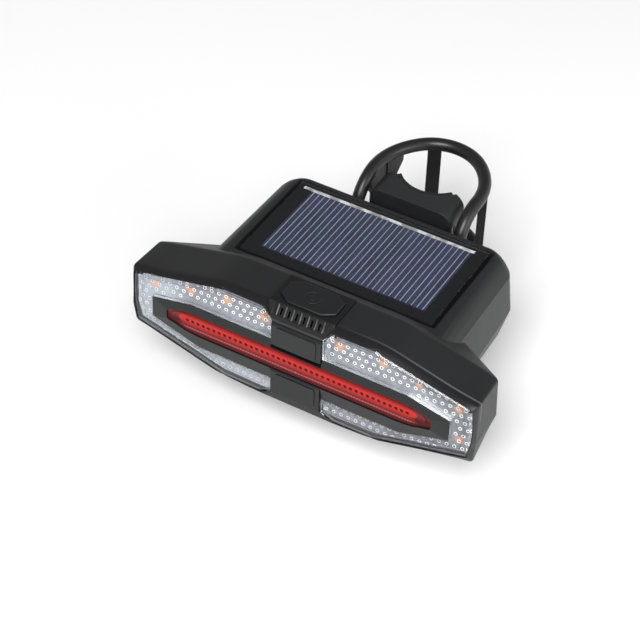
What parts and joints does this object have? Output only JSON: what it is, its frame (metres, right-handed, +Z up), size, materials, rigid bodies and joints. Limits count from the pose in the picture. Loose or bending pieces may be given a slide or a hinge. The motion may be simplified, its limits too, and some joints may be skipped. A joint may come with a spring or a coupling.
{
  "type": "bicycle turn signal light",
  "caption": "Solar rear bicycle light with a red line lens, clear amber turn-signal quadrants, a top button and a seat-post saddle held by a rubber ladder strap.",
  "frame": {"origin": "on the seat post's axis, at the saddle's mid height", "axes": "+Z up along the seat post, -Y out of the lenses, +X to the right as seen by someone who looks at the lenses"},
  "size_m": [0.13, 0.1149, 0.0429],
  "materials": {
    "housing_plastic": "fine matt black moulded plastic",
    "frame_plastic": "satin black plastic",
    "bracket_plastic": "matt black moulded plastic",
    "inner_plastic": "plain black plastic",
    "seal_rubber": "soft black rubber",
    "button_rubber": "smooth black rubber",
    "strap_rubber": "glossy black silicone rubber",
    "clear_lens": "clear moulded plastic",
    "red_lens": "clear red moulded plastic",
    "reflector_silver": "bright white-silver reflector",
    "amber_led": "amber emitter",
    "red_led": "red emitter",
    "circuit_board": "green circuit board",
    "solar_cell": "deep blue silicon cell",
    "silver_ink": "printed silver conductor",
    "panel_cover": "clear cover of the panel",
    "panel_border": "black border of the panel",
    "screw_steel": "steel screws",
    "socket_steel": "plated steel shell",
    "copper": "bare copper wire",
    "wire_skin": "coloured wire insulation",
    "battery_wrap": "shrink-wrapped cell"
  },
  "bodies": {
    "light_body": {"upper_housing": "housing_plastic", "lower_housing": "housing_plastic", "housing_gasket": "seal_rubber", "housing_screws": "screw_steel", "lens_right": "clear_lens", "lens_left": "clear_lens", "inner_frame": "frame_plastic", "red_lens": "red_lens", "centre_band_upper": "frame_plastic", "centre_band_lower": "frame_plastic", "button_block": "frame_plastic", "button_seal": "seal_rubber", "switch_board": "circuit_board", "switch_body": "inner_plastic", "reflector_right": "reflector_silver", "reflector_left": "reflector_silver", "main_board": "circuit_board", "amber_leds": "amber_led", "red_led_board": "circuit_board", "red_leds": "red_led", "light_bar_holder": "inner_plastic", "solar_backsheet": "inner_plastic", "solar_cell": "solar_cell", "cell_fingers": "silver_ink", "solar_busbar": "silver_ink", "solar_glass": "panel_cover", "panel_spacer": "panel_border", "solar_wires": "wire_skin", "battery": "battery_wrap", "battery_holder": "inner_plastic", "charge_board": "circuit_board", "usb_socket": "socket_steel", "buzzer": "inner_plastic", "radio_module": "circuit_board", "antenna_coil": "copper", "battery_wires": "wire_skin", "mount_bracket": "bracket_plastic", "saddle_pad": "seal_rubber", "strap_posts": "bracket_plastic", "bracket_screws": "screw_steel"},
    "power_button": {"power_button": "button_rubber"},
    "switch_plunger": {"switch_plunger": "inner_plastic"},
    "usb_cover": {"usb_cover": "seal_rubber"},
    "strap": {"strap": "strap_rubber"}
  },
  "joints": [
    {"name": "button_press", "type": "slide", "parent": "light_body", "child": "power_button", "axis": [0, 0, -1], "range_m": [0, 0.0007], "stiffness_N_per_m": 400, "springref_m": -0.0004},
    {"name": "plunger_travel", "type": "slide", "parent": "light_body", "child": "switch_plunger", "axis": [0, 0, -1], "range_m": [0, 0.0007]},
    {"name": "usb_flap", "type": "hinge", "parent": "light_body", "child": "usb_cover", "pos_m": [-0.03445, -0.0648, -0.01345], "axis": [0, 1, 0], "range_deg": [0, 100]},
    {"name": "strap_swing", "type": "hinge", "parent": "light_body", "child": "strap", "pos_m": [0, -0.0173, 0], "axis": [1, 0, 0], "range_deg": [-15, 15]}
  ],
  "couplings": [
    {"joint": "plunger_travel", "follows": "button_press", "ratio": 1}
  ]
}
